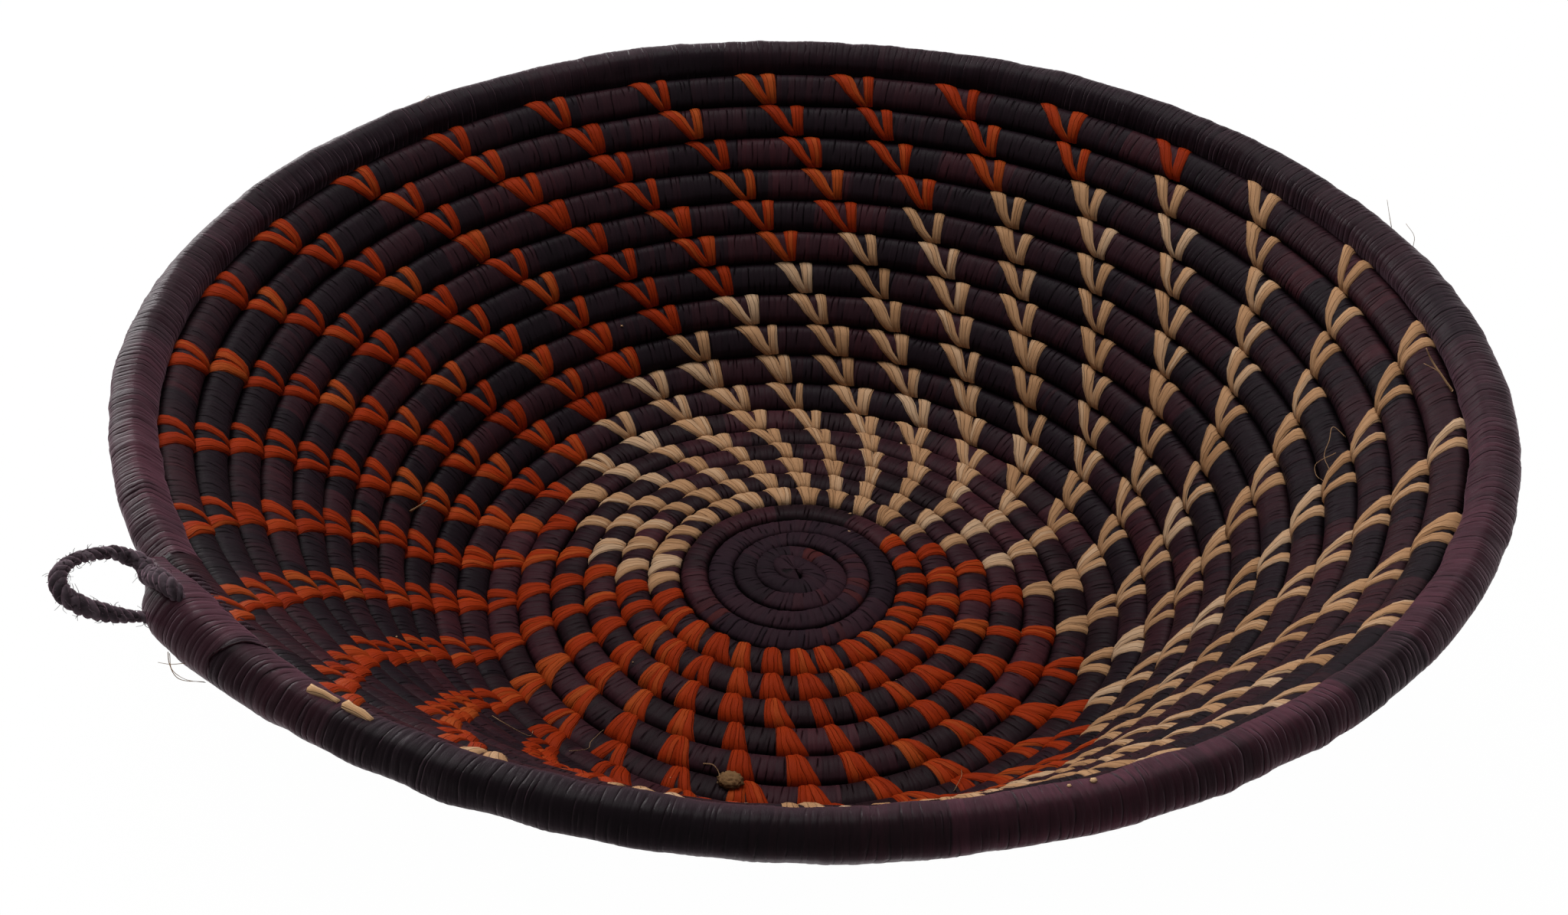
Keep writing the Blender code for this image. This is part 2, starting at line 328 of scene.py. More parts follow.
def strandCells(add, strands):
    # how far it is to the nearest gap between two strands, and each strand's own shade
    gap = add("TexVoronoi", strands, voronoi_dimensions="1D", feature="DISTANCE_TO_EDGE")
    cell = add("TexVoronoi", strands, voronoi_dimensions="1D").outputs["Color"]
    return gap, add("SeparateColor", {0: cell})


# Raffia, split palm leaf, dyed and wrapped tightly round the cord: matt, with a faint plum sheen
# on the rim and the loop, fine fibres running round the cord, dark slits of painted shade where two
# strands part and painted shade darkening the grooves.
wrapFinish = {
    "strandWidth": 0.0016,
    "segmentLength": 0.019,  # a new bundle of strands, of another shade
    "strandShare": 0.25,  # how much of the shade is the single strand's own
    "sway": (320.0, 2.2, 0.0),  # the strands' edges wander, so often along and round the cord
    "swayReach": 1.3,
    "fibreWidth": 0.0007,
    "fibresAround": 4.0,
    "slitEvery": 0.0024,
    # painted shade: the share of its colour that a slit keeps
    "slitShade": 0.12,
    # painted shade: the darkening of the grooves starts this far across the cord
    "grooveShadeFrom": 0.62,  # share of the way to the side of the cord
    "ridgeHeight": 0.00024,
    "sheenTint": "d8a8bc",
    # sheen, gloss, slits and fibres vary by dye lot; groove is how dark the painted groove shade
    # gets
    "sheen": 0.0, "gloss": 0.03, "slits": 0.50, "groove": 0.85, "fibres": 0.3,
}


def wrappedRaffia(name, shades, **changes):
    material, add, shader = newMaterial(name)
    look = {**wrapFinish, **changes}
    uv = add("UVMap", uv_map="UVMap")
    metres, turns = add("SeparateXYZ", {0: uv}).outputs[:2]
    along = add("Math MULTIPLY_ADD", {0: turns, 1: look["strandWidth"], 2: metres})
    swayPlace = add("VectorMath MULTIPLY", {0: uv, 1: look["sway"]})
    sway = add("TexNoise", {"Vector": swayPlace, "Scale": 1.0, "Detail": 2.0})
    swayed = add("Math MULTIPLY", {0: sway, 1: look["swayReach"]})
    strand = add("Math MULTIPLY_ADD", {0: along, 1: 1 / look["strandWidth"], 2: swayed})
    strands = {"W": strand, "Scale": 1.0, "Randomness": 0.9}
    segments = {"W": along, "Scale": 1 / look["segmentLength"]}
    edge, strandShade = strandCells(add, strands)
    segmentCell = add("TexVoronoi", segments, voronoi_dimensions="1D").outputs["Color"]
    segmentShade = add("SeparateColor", {0: segmentCell})
    strandPart = add("Math MULTIPLY", {0: strandShade.outputs[1], 1: look["strandShare"]})
    tone = add("Attribute", attribute_name="tone").outputs["Fac"]
    toned = add("Math ADD", {0: strandPart, 1: tone})
    hue = add("Math MULTIPLY_ADD", {0: segmentShade, 1: 1 - look["strandShare"], 2: toned})
    ramp = shadeRamp(add, hue, shades)
    fibreScale, slitScale = ((1 / look[key], look["fibresAround"], 0.0)
                             for key in ("fibreWidth", "slitEvery"))
    fibrePlace = add("VectorMath MULTIPLY", {0: uv, 1: fibreScale})
    fibres = add("TexNoise", {"Vector": fibrePlace, "Scale": 1.0, "Detail": 5.0, "Roughness": 0.65})
    # slits show only here and there, and painted shade makes them dark
    slitPlace = add("VectorMath MULTIPLY", {0: uv, 1: slitScale})
    slitNoise = add("TexNoise", {"Vector": slitPlace, "Scale": 1.0, "Detail": 1.0})
    near = add("MapRange", {0: edge, 1: 0.0, 2: 0.15, 3: 1.0, 4: 0.0})
    parted = add("MapRange", {0: slitNoise, 1: 1 - look["slits"], 2: 1.1 - look["slits"]})
    slit = add("Math MULTIPLY", {0: near, 1: parted})
    # painted shade: the colour darkens towards the grooves on both sides of the cord
    turned = add("Math MULTIPLY", {0: turns, 1: 2 * math.pi})
    sideways = add("Math COSINE", {0: turned})
    sideShare = add("Math ABSOLUTE", {0: sideways})
    groove = {0: sideShare, 1: look["grooveShadeFrom"], 2: 1.0, 3: 1.0, 4: 1 - look["groove"]}
    grooveShade = add("MapRange", groove, interpolation_type="SMOOTHSTEP")
    fibreLight = add("MapRange",
                     {0: fibres, 1: 0.25, 2: 0.75, 3: 1 - look["fibres"], 4: 1 + look["fibres"]})
    # painted shade darkens the colour in the slits and towards the grooves; the fibres only vary it
    slitShade = add("MapRange", {0: slit, 3: 1.0, 4: look["slitShade"]})
    light = add("Math MULTIPLY", {0: fibreLight, 1: slitShade})
    light = add("Math MULTIPLY", {0: light, 1: grooveShade})
    colour = add("VectorMath SCALE", {0: ramp, "Scale": light})
    dome = add("MapRange", {0: edge, 1: 0.0, 2: 0.3, 3: 0.0, 4: 0.35})
    height = add("Math MULTIPLY_ADD", {0: fibres, 1: 0.7, 2: dome})
    height = add("Math MULTIPLY_ADD", {0: slit, 1: -0.9, 2: height})
    bump = add("Bump", {"Strength": 0.9, "Distance": look["ridgeHeight"], "Height": height})
    rough = add("Math MULTIPLY_ADD", {0: fibres, 1: 0.16, 2: look["roughness"] - 0.08})
    feed(shader, {
        "Base Color": colour, "Roughness": rough, "Normal": bump,
        "Specular IOR Level": look["gloss"], "Sheen Weight": look["sheen"],
        "Sheen Roughness": 0.45, "Sheen Tint": linear(look["sheenTint"]),
    })
    return material


def finishPiece(piece, material, body):
    piece.data.materials.clear()
    piece.data.materials.append(material)
    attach(piece, body)
    return piece


centreRaffia = wrappedRaffia(
    "raffia hand wrapped, dyed black brown",
    ((0.0, "181014"), (0.4, "1f141a"), (0.8, "29181e"), (1.0, "481b15")),
    roughness=0.62, slits=0.52, groove=0.9)
baseRaffia = wrappedRaffia(
    "raffia hand wrapped, dyed brown black",
    ((0.0, "160d10"), (0.4, "1e1115"), (0.55, "271419"), (0.8, "2f181d"), (1.0, "3a1d22")),
    roughness=0.44)
darkRaffia = wrappedRaffia(
    "raffia hand wrapped, dyed blue black",
    ((0.0, "140e12"), (0.4, "1a1116"), (0.55, "221318"), (0.8, "29161b"), (1.0, "34191e")),
    roughness=0.42)
plumRaffia = wrappedRaffia(
    "raffia hand wrapped, dyed plum",
    ((0.0, "130b10"), (0.4, "1e1015"), (0.7, "2b161d"), (1.0, "3e2029")),
    roughness=0.38, sheen=0.2, groove=0.6, fibres=0.4)


# The cords inside press lumps and flats into the wrapping, which turn slowly along the coil.
# Of each unevenness: metres along the cord and cells round it.
lumps = {
    "wide": (0.011, 4),
    "small": (0.0036, 7),
    "drift": (0.05, 2),
    "driftReach": 3,
    "flats": 5,
}


def softLumps(seed, height):
    def shape(places, around):
        wide = roughNoise(seed, places, around, *lumps["wide"])
        small = roughNoise(seed + 1, places, around, *lumps["small"])
        drift = roughNoise(seed + 2, places, np.zeros_like(places), *lumps["drift"])
        turn = 2 * np.pi * lumps["flats"] * around + drift * lumps["driftReach"]
        flats = np.cos(turn) * (0.6 + 0.4 * wide)
        return height * (wide * 0.5 + small * 0.35 + flats * 0.5)
    return shape


def ribbedLumps(ribSeed, ribWidth, ribHeight, seed, height):
    def shape(places, around):
        ridges = strandRidges(ribSeed, places, around, ribWidth)
        return softLumps(seed, height)(places, around) + ribHeight * ridges
    return shape


coilLumps = softLumps(21, 0.0002)
wraps = {
    # piece: node, first and last round, metres between rings, sides, shape, material, slot
    "centreWrap": ("center_coil", 0.06, coil["discEnd"] + 0.004, 0.00045, 20,
                   ribbedLumps(7, 0.0015, 0.00016, 3, 0.0003), centreRaffia, "centre_raffia"),
    "baseWrap": ("base_coil", coil["discEnd"], coil["baseEnd"] + 0.002, 0.0011, 20,
                 coilLumps, baseRaffia, "stitched_raffia"),
    "wallWrap": ("wall_coil", coil["baseEnd"], coil["plumStart"] + 0.001, 0.0016, 20,
                 coilLumps, darkRaffia, "dark_raffia"),
    "rimWrap": ("rim_coil", coil["plumStart"], coil["rimEnd"], 0.00045, 26,
                ribbedLumps(11, 0.0017, 0.00012, 5, 0.0005), plumRaffia, "plum_raffia"),
}
for name, (node, first, last, ringStep, sides, shape, finish, slot) in wraps.items():
    stretch = wrappedStretch(name, first, last, ringStep, sides, shape)
    finishPiece(stretch, finish, "bowl")
    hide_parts(node)
    print(name, "wound:", len(stretch.data.polygons), "faces")

# The sewing: a V of two flat bands over the cord, its point in the groove of the round before.
# Degrees are counted along the coil from the splice; metres are measured along the cord.
sewing = {
    "first": 1.2,
    "every": 12.746,
    "last": 6298.0,
    "sway": ((-1.46, 2.54), (-0.88, 1.07), (-0.90, 0.25)),  # of the spacing, round the bowl
    "swayFade": 90.0,
    "startGaps": ((5.0, 4.9), (365.0, 2.5)),  # wider apart past the splice, in the first two rows
    "gapSpread": 62.0,
    "jitter": 0.35,
    "blockRow": 3.0,  # up to here the two bands close up into a block
    "openRow": 8.0,  # from here they stand fully open
    "drawnClosed": (-0.25, 0.3),  # some open stitches are drawn closed
    "swingAngle": 15.0,
    "pointWidth": 0.0022,
    "pierced": 14.0,  # degrees up the shoulder of the round before, where the band comes out
    "leaves": 150.0,  # and where it meets its own round, past the groove
    "ends": -20.0,  # over the top, in the groove before the next round
    "bridge": 0.08,  # share of the band that spans the groove
    "farChange": (190.5, -9.45),  # natural gives way to orange here: angle at row 0, change a row
    "nearChange": (31.2, -9.1),  # orange gives way to natural
    "crown": 0.00026,
    "edge": 0.00012,  # the strip's own thickness
    "tuckedEdge": 0.0004,
    "bow": -0.0005,
    "bowJitter": 0.0002,
    "segments": 13,
    "underside": 0.36,  # share of a band that runs back under the cord
    "stubShare": 0.3,  # some orange stitches show a pale cut end beside their point
}
# Of each band's top and width: at the block rows and at the open rows. The open ones lean one way
# on this side of the bowl and the other way across it, by their swing.
bands = {
    "upright": {"point": 0.0002, "top": (-0.0012, -0.0003), "swing": 0.0025,
                "width": (0.0034, 0.0035), "crown": 1.0, "leans": 0},
    "leaning": {"point": -0.0006, "top": (-0.0035, -0.0078), "swing": 0.0028,
                "width": (0.0037, 0.0050), "crown": 1.6, "leans": 1},
}


def stitchPlaces():
    count = int((sewing["last"] - sewing["first"]) / sewing["every"]) + 2
    base = sewing["first"] + sewing["every"] * np.arange(count)
    places = base.copy()
    fade = smoothStep(base / sewing["swayFade"])
    for order, (cosShare, sinShare) in enumerate(sewing["sway"], 1):
        swing = np.radians(base * order)
        places += fade * (cosShare * np.cos(swing) + sinShare * np.sin(swing))
    for start, spread in sewing["startGaps"]:
        within = np.clip((base - start) / sewing["gapSpread"], 0, 1)
        places += spread * np.sin(np.pi * within) ** 0.6
    places += np.random.default_rng(41).normal(0, sewing["jitter"], count)
    return places[places < sewing["last"]]


def isNatural(place):
    row = math.floor(place / 360)
    angle = coil["splice"] - (place - 360 * row)
    near, far = (sewing[key][0] + sewing[key][1] * row for key in ("nearChange", "farChange"))
    return (row > 0 and angle > near) or angle < far - 360


def wrapLift(rounds, around):
    # how far the wrapping stands out under a stitch
    return coilLumps(onLine(rounds, "length"), (around - np.pi) / (2 * np.pi))


def stripAcross(across):
    # the outer faces on both sides are tucked in
    return np.clip((across * 5 - 1) / 3, 0, 1), np.abs(across - 0.5) > 0.49


def bandOnCoil(along, across, rounds, band, top, pointWidth, topWidth, bow, seed):
    # along 0 to 1 runs from the point over the top to the outer groove and back underneath
    turn = 1 - sewing["underside"]
    over = np.where(along < turn, along / turn, (1 - along) / sewing["underside"])
    bridge = sewing["bridge"]
    onTop = np.clip((over - bridge) / (1 - bridge), 0, 1)
    topAngle = mix(sewing["leaves"], sewing["ends"], onTop)
    around = np.radians(np.where(along < turn, topAngle, -162 + 142 * over))
    # the arms run straight when seen from above, so they follow the share across the round
    reach = np.where(over < bridge, 0.0, (1 + np.cos(np.radians(topAngle))) / 2)
    random = np.random.default_rng(seed)
    flat, tucked = stripAcross(across)
    width = mix(pointWidth, topWidth, reach ** 0.85)
    bend = (bow + random.normal(0, sewing["bowJitter"])) * np.sin(np.pi * reach)
    shift = mix(band["point"], top, reach) + (flat - 0.5) * width + bend
    dome = sewing["crown"] * band["crown"] * (1 - np.abs(2 * flat - 1) ** 2.4)
    raised = np.where(tucked, -sewing["tuckedEdge"], sewing["edge"] + dome)
    here = movedAlong(rounds, shift)
    laid = onCoil(here, around, raised + wrapLift(here, around))
    pierced = np.full(len(along), math.radians(sewing["pierced"]))
    start = onCoil(here - 1, pierced, raised + wrapLift(here - 1, pierced))
    return mix(start, laid, np.where(along < turn, smoothStep(over / bridge), 1.0)[:, None])


def newObject(name, data):
    made = bpy.data.objects.new(name, data)
    bpy.context.scene.collection.objects.link(made)
    return made


def newPiece(name, corners, faces):
    mesh = bpy.data.meshes.new(name)
    mesh.from_pydata(corners.tolist(), [], faces.tolist())
    piece = newObject(name, mesh)
    deselectAll()
    piece.select_set(True)
    bpy.context.view_layer.objects.active = piece
    bpy.ops.object.shade_smooth()
    return piece


def takeStrip(segments):
    # the faces and the map of one flat strip, five faces wide, for copies laid on the coil
    grid, along, across = gridShares(segments, 5)
    faces = np.array([polygon.vertices[:] for polygon in grid.data.polygons])
    uv = np.empty(len(grid.data.uv_layers.active.data) * 2)
    grid.data.uv_layers.active.data.foreach_get("uv", uv)
    bpy.data.objects.remove(grid)
    return faces, uv, along, across


def joinStrips(name, faces, uv, corners, shades):
    each = len(corners[0])
    allFaces = (faces[None] + np.arange(len(corners))[:, None, None] * each).reshape(-1, 4)
    piece = newPiece(name, np.concatenate(corners), allFaces)
    piece.data.uv_layers.new(name="UVMap").data.foreach_set("uv", np.tile(uv, len(corners)))
    storeValues(piece, "shade", np.repeat(shades, each))
    return piece


def sewnBands(name, places, finish):
    faces, uv, along, across = takeStrip(sewing["segments"])
    corners, shades = [], []
    random = np.random.default_rng(len(places))
    for place in places:
        opening = (place / 360 - sewing["blockRow"]) / (sewing["openRow"] - sewing["blockRow"])
        openShare = float(smoothStep(opening))
        closing = openShare * max(0.0, random.normal(*sewing["drawnClosed"]))
        rounds = place / 360 + coil["discEnd"] + 0.5
        facing = math.cos(angleAt(rounds) - math.radians(sewing["swingAngle"]))
        shade = random.uniform()
        for band in bands.values():
            leans = band["leans"]
            vary = random.normal(0, 0.15, 3)
            top = mix(*band["top"], openShare - closing * leans) + vary[0] * 0.004
            swing = openShare * band["swing"] * facing
            width = mix(*band["width"], openShare)
            corners.append(bandOnCoil(
                along, across, rounds, band, top - swing,
                sewing["pointWidth"] * (1 + vary[2]), width * (1 + vary[1] + 0.3 * closing),
                sewing["bow"] * openShare * leans, int(place * 10) + leans))
            shades.append(shade * 0.7 + random.uniform() * 0.3)
    piece = joinStrips(name, faces, uv, corners, shades)
    return finishPiece(piece, finish, "bowl")


# Flat strips of raffia, dyed orange or left its own straw colour: satin, long fine fibres along
# each strip, every strip a little lighter or darker than the last, with painted shade at both
# edges and where its strands part.
stripFinish = {
    "strands": 4.5,  # across one band
    "ownPlace": 91.0,  # no two strips show the same stretch of fibre
    "sway": (3.0, 1.2, 0.0),
    "fibreScale": (5.0, 26.0, 0.0),
    "ridgeHeight": 0.0002,
    "gloss": 0.04,
}


def stripRaffia(name, shades, edgeShade, roughness):
    material, add, shader = newMaterial(name)
    uv = add("UVMap", uv_map="UVMap")
    across = add("SeparateXYZ", {0: uv}).outputs[1]
    shade = add("Attribute", attribute_name="shade").outputs["Fac"]
    own = add("Math MULTIPLY", {0: shade, 1: stripFinish["ownPlace"]})
    ownPlace = add("CombineXYZ", {2: own})
    swayPlace, fibrePlace = (
        add("VectorMath MULTIPLY_ADD", {0: uv, 1: stripFinish[key], 2: ownPlace})
        for key in ("sway", "fibreScale"))
    sway = add("TexNoise", {"Vector": swayPlace, "Scale": 1.0, "Detail": 2.0})
    swayed = add("Math MULTIPLY_ADD", {0: sway, 1: 0.35, 2: across})
    strand = add("Math MULTIPLY_ADD", {0: swayed, 1: stripFinish["strands"], 2: own})
    strands = {"W": strand, "Scale": 1.0}
    gap, cellShade = strandCells(add, strands)
    fibres = add("TexNoise", {"Vector": fibrePlace, "Scale": 1.0, "Detail": 3.0, "Roughness": 0.7})
    # the strands part in places, and lie close elsewhere; painted shade darkens the partings
    partNoise = add("TexNoise", {"Vector": swayPlace, "Scale": 1.7, "Detail": 1.0})
    parted = add("MapRange", {0: partNoise, 1: 0.42, 2: 0.58})
    near = add("MapRange", {0: gap, 1: 0.0, 2: 0.10, 3: 1.0, 4: 0.0})
    partingShade = add("Math MULTIPLY", {0: near, 1: parted})
    # painted shade: the strip is darker towards both its edges, where it curves away
    offMiddle = add("Math SUBTRACT", {0: across, 1: 0.5})
    side = add("Math ABSOLUTE", {0: offMiddle})
    edge = add("MapRange", {0: side, 1: 0.25, 2: 0.42, 3: 0.0, 4: edgeShade})
    cellPart = add("Math MULTIPLY", {0: cellShade, 1: 0.25})
    hue = add("Math MULTIPLY_ADD", {0: shade, 1: 0.45, 2: cellPart})
    hue = add("Math MULTIPLY_ADD", {0: fibres, 1: 0.3, 2: hue})
    ramp = shadeRamp(add, hue, shades)
    # all the painted shade, at the partings and at the edges, taken off the colour
    dark = add("Math MULTIPLY_ADD", {0: partingShade, 1: 0.5, 2: edge})
    fibreLight = add("MapRange", {0: fibres, 1: 0.25, 2: 0.75, 3: 0.86, 4: 1.14})
    light = add("Math SUBTRACT", {0: fibreLight, 1: dark})
    colour = add("VectorMath SCALE", {0: ramp, "Scale": light})
    height = add("Math MULTIPLY_ADD", {0: near, 1: -0.9, 2: fibres})
    bump = add("Bump", {"Strength": 0.9, "Distance": stripFinish["ridgeHeight"], "Height": height})
    feed(shader, {"Base Color": colour, "Normal": bump, "Roughness": roughness,
                  "Specular IOR Level": stripFinish["gloss"]})
    return material


orangeStrip = stripRaffia("raffia strip, dyed orange",
                          ((0.15, "6e1c04"), (0.5, "88290a"), (0.85, "96451b")), 0.3, 0.6)
naturalStrip = stripRaffia("raffia strip, natural straw",
                           ((0.15, "8a6444"), (0.5, "a57e5c"), (0.85, "b69a7e")), 0.25, 0.6)

allPlaces = stitchPlaces()
natural = np.array([isNatural(place) for place in allPlaces])
sewnBands("orangeSewing", allPlaces[~natural], orangeStrip)
sewnBands("naturalSewing", allPlaces[natural], naturalStrip)
print("sewn:", int((~natural).sum()), "orange and", int(natural.sum()), "natural stitches")

# The hanging loop: a twisted cord whose two ends are sewn to the rim beside its end.
loop = {
    "beforeEnd": 0.0092,  # rounds from the loop's middle to the rim's end
    "topAlong": -0.0077,
    "topPolar": 74.0,
    "sideAlong": 0.0087,
    "sidePolar": 8.0,
    "rise": 32.0,
    "endRadius": 0.0013,
    "clearance": 0.0003,
    # along the hinge line from the upper sewn end, out from it, thickness, all in millimetres
    "shape": (
        (3.6, 0.0, 3.0), (3.2, 2.0, 2.7), (4.0, 5.4, 2.3), (5.1, 8.3, 2.3), (6.6, 11.0, 2.4),
        (8.8, 13.4, 2.8), (11.4, 14.7, 3.2), (13.9, 14.2, 3.4), (15.6, 12.2, 3.5), (16.4, 9.6, 3.5),
        (16.9, 6.5, 3.3), (17.0, 3.3, 2.8), (16.6, 0.0, 2.2),
    ),
    "upperNeck": ((3.6, 0.0), (4.3, -2.9)),
    "lowerNeck": ((16.6, 0.0), (16.5, -1.8), (16.9, -4.2)),
    # sewn down on the rim's end: rounds before the rim's end, degrees, lift
    "tail": ((0.0095, 20.0, 0.0013), (0.0150, 35.0, 0.0014), (0.0205, 40.0, 0.0011),
             (0.0226, 42.0, -0.0008)),
    "knot": ((0.0172, -40.0, -0.0015),),
    "tailThick": (3.0, 3.4, 3.8, 3.9, 3.4, 1.8),  # millimetres, from the loop to the frayed end
    "knotThick": (2.2, 2.0, 3.2, 3.0),
    "lay": 0.0052,  # one full twist of the strands
    "tailLay": 0.00624,
    "knotLay": 0.004,
}
# Cord is laid up from strands: each one's thickness and its way out from the cord's middle, as
# shares of the cord, and how lumpy it is and over what length.
ply = {"count": 3, "sides": 8, "share": 0.56, "out": 0.50, "rough": 0.13, "lump": 0.0011}
cordStep = 0.0004
noiseCells = 5
vertical = Vector((0.0, 0.0, 1.0))


def rimFrame():
    rounds = coil["rimEnd"] - loop["beforeEnd"]
    angle = float(angleAt(rounds))
    out = Vector((math.cos(angle), math.sin(angle), 0.0))
    centre = Vector((*coil["axis"], onLine(rounds, "up"))) + out * float(onLine(rounds, "out"))
    return centre, out, vertical.cross(out)


def onRim(along, polar):
    centre, out, side = rimFrame()
    reach = coil["endCord"] / 2 + loop["clearance"] + loop["endRadius"]
    polar = math.radians(polar)
    return centre + side * along + (out * math.cos(polar) + vertical * math.sin(polar)) * reach


def loopFrame():
    top = onRim(loop["topAlong"], loop["topPolar"])
    hinge = (onRim(loop["sideAlong"], loop["sidePolar"]) - top).normalized()
    rise = math.radians(loop["rise"])
    outward = rimFrame()[1] * math.cos(rise) + vertical * math.sin(rise)
    return top, hinge, (outward - hinge * outward.dot(hinge)).normalized()


def lengthAlong(curve):
    return np.concatenate([[0], np.cumsum(np.linalg.norm(np.diff(curve, axis=0), axis=1))])


def smoothPath(points, radii, step):
    # a smooth curve through given points, with even spacing
    points = np.array([list(p) for p in points], float)
    chord = lengthAlong(points)
    tangent = np.gradient(points, chord, axis=0)
    fine = np.linspace(0, chord[-1], int(chord[-1] / step) + 1)
    cell = np.clip(np.searchsorted(chord, fine, side="right") - 1, 0, len(chord) - 2)
    span = (chord[cell + 1] - chord[cell])[:, None]
    s = ((fine - chord[cell])[:, None]) / span
    curve = ((2 * s**3 - 3 * s**2 + 1) * points[cell] + (s**3 - 2 * s**2 + s) * span * tangent[cell]
             + (3 * s**2 - 2 * s**3) * points[cell + 1] + (s**3 - s**2) * span * tangent[cell + 1])
    return curve, np.interp(fine, chord, radii)


def pathFrames(curve):
    tangent = np.gradient(curve, axis=0)
    tangent /= np.linalg.norm(tangent, axis=1)[:, None]
    normals = np.zeros_like(curve)
    guide = np.cross(tangent[0], (0.0, 0.0, 1.0))
    for k, direction in enumerate(tangent):
        guide = guide - direction * guide.dot(direction)
        guide /= np.linalg.norm(guide)
        normals[k] = guide
    return tangent, normals, np.cross(tangent, normals)


def aroundPath(ways, angle, reach):
    # the way from the path's middle out to its skin
    return reach[:, None] * (np.cos(angle)[:, None] * ways[0] + np.sin(angle)[:, None] * ways[1])


def rolledStrand(curve, radii, seed, make):
    # one strand: a flat grid rolled into a tube along the curve
    length = lengthAlong(curve)
    grid, along, around = gridShares(len(curve) - 1, make["sides"])
    index = np.rint(along * (len(curve) - 1)).astype(int)
    lumpy = roughNoise(seed, length[index], around, make["lump"], noiseCells)
    radius = radii[index] * (1 + make["rough"] * lumpy)
    ways = [way[index] for way in pathFrames(curve)[1:]]
    corners = curve[index] + aroundPath(ways, around * 2 * np.pi, radius)
    grid.data.vertices.foreach_set("co", corners.ravel())
    first = seed * 0.137 % 1  # each strand shows its own stretch of the material
    scaleUv(grid, first, first + length[-1])
    closeTube(grid, make["sides"])
    return grid


def strandThrough(points, radii, seed, make):
    return rolledStrand(*smoothPath(points, radii, make["step"]), seed, make)


def joinPieces(name, made):
    deselectAll()
    for piece in made:
        piece.select_set(True)
    bpy.context.view_layer.objects.active = made[0]
    bpy.ops.object.join()
    made[0].name = name
    return made[0]


def pliedCord(name, curve, radii, lay, seed, body):
    # strands twisted round each other, each along its own helix
    made = []
    for number in range(ply["count"]):
        turn = 2 * np.pi * (number / ply["count"] + lengthAlong(curve) / lay)
        helix = curve + aroundPath(pathFrames(curve)[1:], turn, radii * ply["out"])
        made.append(rolledStrand(helix, radii * ply["share"], seed + number, ply))
    return finishPiece(joinPieces(name, made), loopRaffia, body)


loopRaffia = wrappedRaffia(
    "raffia twisted into cord, dyed black brown",
    ((0.0, "2a2428"), (0.5, "483d43"), (1.0, "70636a")),
    roughness=0.8, sheen=0.35, gloss=0.08, groove=0.45, fibres=0.4)

loopTop, loopHinge, loopOut = loopFrame()


def inLoop(along, out):
    return loopTop + loopHinge * (along / 1000) + loopOut * (out / 1000)


def sewnEnd(neck, onEnd, thick):
    # from the loop down onto the rim's end, where it is sewn
    points = [inLoop(*place) for place in neck]
    points += [coilPoint(coil["rimEnd"] - back, degrees, lift) for back, degrees, lift in onEnd]
    return smoothPath(points, np.array(thick) / 2000, cordStep)


loopPoints = [inLoop(along, out) for along, out, thick in loop["shape"]]
loopRadii = np.array([thick for *_, thick in loop["shape"]]) / 2000
loopCurve, loopThick = smoothPath(loopPoints, loopRadii, cordStep)
loopCord = pliedCord("loopCord", loopCurve, loopThick, loop["lay"], 61, "loop")
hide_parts("hanging_loop")

tailCurve, tailThick = sewnEnd(loop["upperNeck"], loop["tail"], loop["tailThick"])
tailCord = pliedCord("loopTail", tailCurve, tailThick, loop["tailLay"], 71, "bowl")
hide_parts("loop_tail")

knotCurve, knotThick = sewnEnd(loop["lowerNeck"], loop["knot"], loop["knotThick"])
pliedCord("loopKnot", knotCurve, knotThick, loop["knotLay"], 81, "bowl")

# The seam where the thick end is bound to the round inside it: short plum strands over the
# groove, with dark holes between them.
seam = {
    "firstRounds": 23.2025,
    "lastRounds": 23.2245,
    "strands": 13,
    "segments": 12,
    "width": 0.0012,
    "vary": (0.8, 1.2),
    "lean": 0.0022,
    "edge": 0.0004,
    "crown": 0.0002,
    "sunkEnds": 0.0006,
    "inner": (78, 28),  # degrees round the cord inside the groove, from its end to the groove
    "outer": (152, 96),  # and round the rim, from the groove to its end
    "crossing": (0.42, 0.16),  # the share of the strand where it crosses over, and over how much
}


def seamStrand(along, across, rounds, seed):
    flat, tucked = stripAcross(across)
    width = seam["width"] * np.random.default_rng(seed).uniform(*seam["vary"])
    here = movedAlong(rounds, (along - 0.5) * seam["lean"] + (flat - 0.5) * width)
    ends = np.abs(2 * along - 1) ** 4
    dome = seam["edge"] + seam["crown"] * (1 - np.abs(2 * flat - 1))
    raised = np.where(tucked, -seam["edge"], dome) - seam["sunkEnds"] * ends
    first = mix(*seam["inner"], np.clip(along * 2, 0, 1))
    last = mix(*seam["outer"], np.clip(along * 2 - 1, 0, 1))
    crossed = smoothStep((along - seam["crossing"][0]) / seam["crossing"][1])[:, None]
    return mix(onCoil(here - 1, np.radians(first), raised),
               onCoil(here, np.radians(last), raised), crossed)


faces, uv, along, across = takeStrip(seam["segments"])
seamPlaces = np.linspace(seam["firstRounds"], seam["lastRounds"], seam["strands"])
seamCorners = [seamStrand(along, across, rounds, order) for order, rounds in enumerate(seamPlaces)]
seamStitches = joinStrips("rimSeam", faces, uv, seamCorners, np.zeros(len(seamCorners)))
finishPiece(seamStitches, plumRaffia, "bowl")

# one dark strand goes round where the binding of the thick end starts
bindingStart = {
    "way": ((23.1918, -30.0), (23.1928, -5.0), (23.1914, 25.0), (23.1902, 60.0), (23.1880, 95.0)),
    "radii": (0.0001, 0.00025, 0.00025, 0.00025, 0.0001),
    "step": 0.0006, "sides": 8, "rough": 0.2, "lump": 0.002,
}
bindingPoints = [coilPoint(rounds, degrees, 0.0) for rounds, degrees in bindingStart["way"]]
binding = strandThrough(bindingPoints, bindingStart["radii"], 88, bindingStart)
finishPiece(binding, darkRaffia, "bowl").name = "bindingStart"

